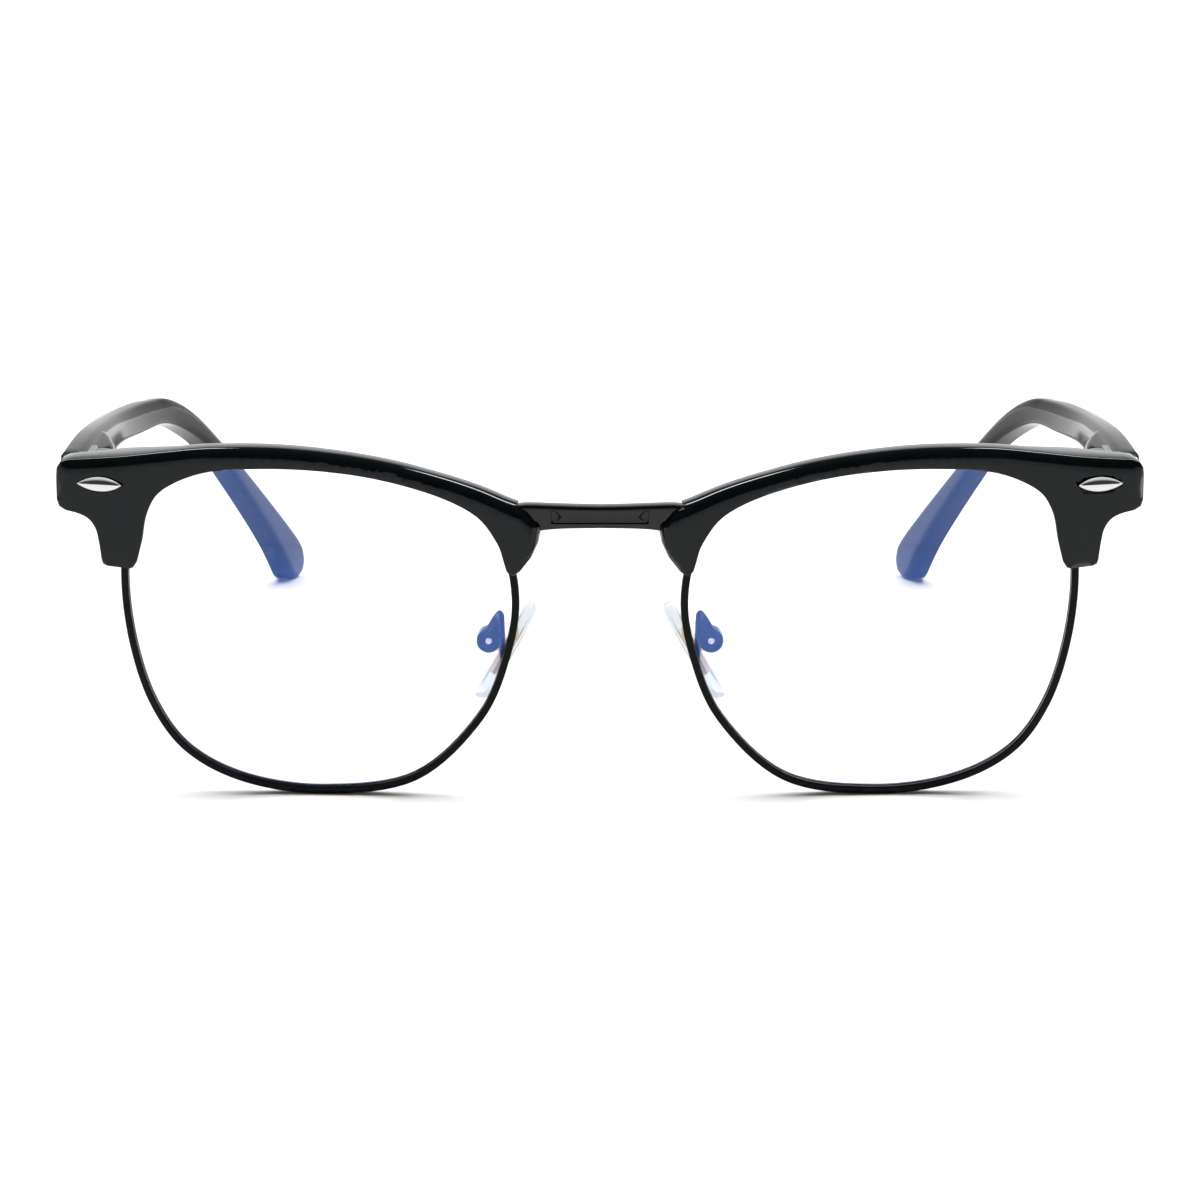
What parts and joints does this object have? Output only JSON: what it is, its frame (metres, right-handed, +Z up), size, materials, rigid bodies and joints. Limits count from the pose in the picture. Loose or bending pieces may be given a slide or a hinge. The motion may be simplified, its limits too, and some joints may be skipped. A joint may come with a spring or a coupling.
{
  "type": "browline blue light glasses",
  "caption": "Browline glasses with glossy black brows, thin black wire rims, clear lenses with a blue-reflecting coating, clear nose pads and folding plastic temples.",
  "frame": {"origin": "on the surface that the glasses stand on, under the middle of the open glasses", "axes": "+X to the viewer's right across the front, +Y back along the temples, +Z up"},
  "size_m": [0.1406, 0.1362, 0.0458],
  "materials": {
    "black_plastic": "polished, moulded black acetate",
    "black_metal": "satin black plating on metal",
    "lens": "clear polycarbonate with a blue-violet reflecting coating",
    "steel": "small turned steel screws and hinge metal",
    "polished_steel": "polished",
    "gold": "gold plated stamping",
    "silicone": "clear soft silicone",
    "core_steel": "plain strip, hidden inside the temple"
  },
  "bodies": {
    "front": {"bridge": "black_metal", "brow_left": "black_plastic", "brow_right": "black_plastic", "rim_left": "black_metal", "rim_right": "black_metal", "lens_left": "lens", "lens_right": "lens", "rim_screw_left": "steel", "rim_screw_right": "steel", "brow_screws_left": "steel", "brow_screws_right": "steel", "rivet_left": "polished_steel", "rivet_right": "polished_steel", "pad_arm_left": "black_metal", "pad_arm_right": "black_metal", "pad_screw_left": "steel", "pad_screw_right": "steel", "front_leaf_left": "black_metal", "front_leaf_right": "black_metal", "leaf_screws_left": "steel", "leaf_screws_right": "steel", "hinge_screw_left": "steel", "hinge_screw_right": "steel"},
    "temple_left": {"temple_left": "black_plastic", "temple_core_left": "core_steel", "temple_leaf_left": "steel"},
    "pad_left": {"nose_pad_left": "silicone", "pad_insert_left": "gold"},
    "temple_right": {"temple_right": "black_plastic", "temple_core_right": "core_steel", "temple_leaf_right": "steel"},
    "pad_right": {"nose_pad_right": "silicone", "pad_insert_right": "gold"}
  },
  "joints": [
    {"name": "temple_left_fold", "type": "hinge", "parent": "front", "child": "temple_left", "pos_m": [-0.0646, -0.05505, 0.0405], "axis": [0, 0, -1], "range_deg": [0, 78]},
    {"name": "temple_right_fold", "type": "hinge", "parent": "front", "child": "temple_right", "pos_m": [0.0646, -0.05505, 0.0405], "axis": [0, 0, 1], "range_deg": [0, 84]},
    {"name": "pad_left_rock", "type": "hinge", "parent": "front", "child": "pad_left", "pos_m": [-0.0145, -0.05795, 0.0189], "axis": [0, 1, 0], "range_deg": [-8, 8]},
    {"name": "pad_right_rock", "type": "hinge", "parent": "front", "child": "pad_right", "pos_m": [0.0145, -0.05795, 0.0189], "axis": [0, 1, 0], "range_deg": [-8, 8]}
  ]
}
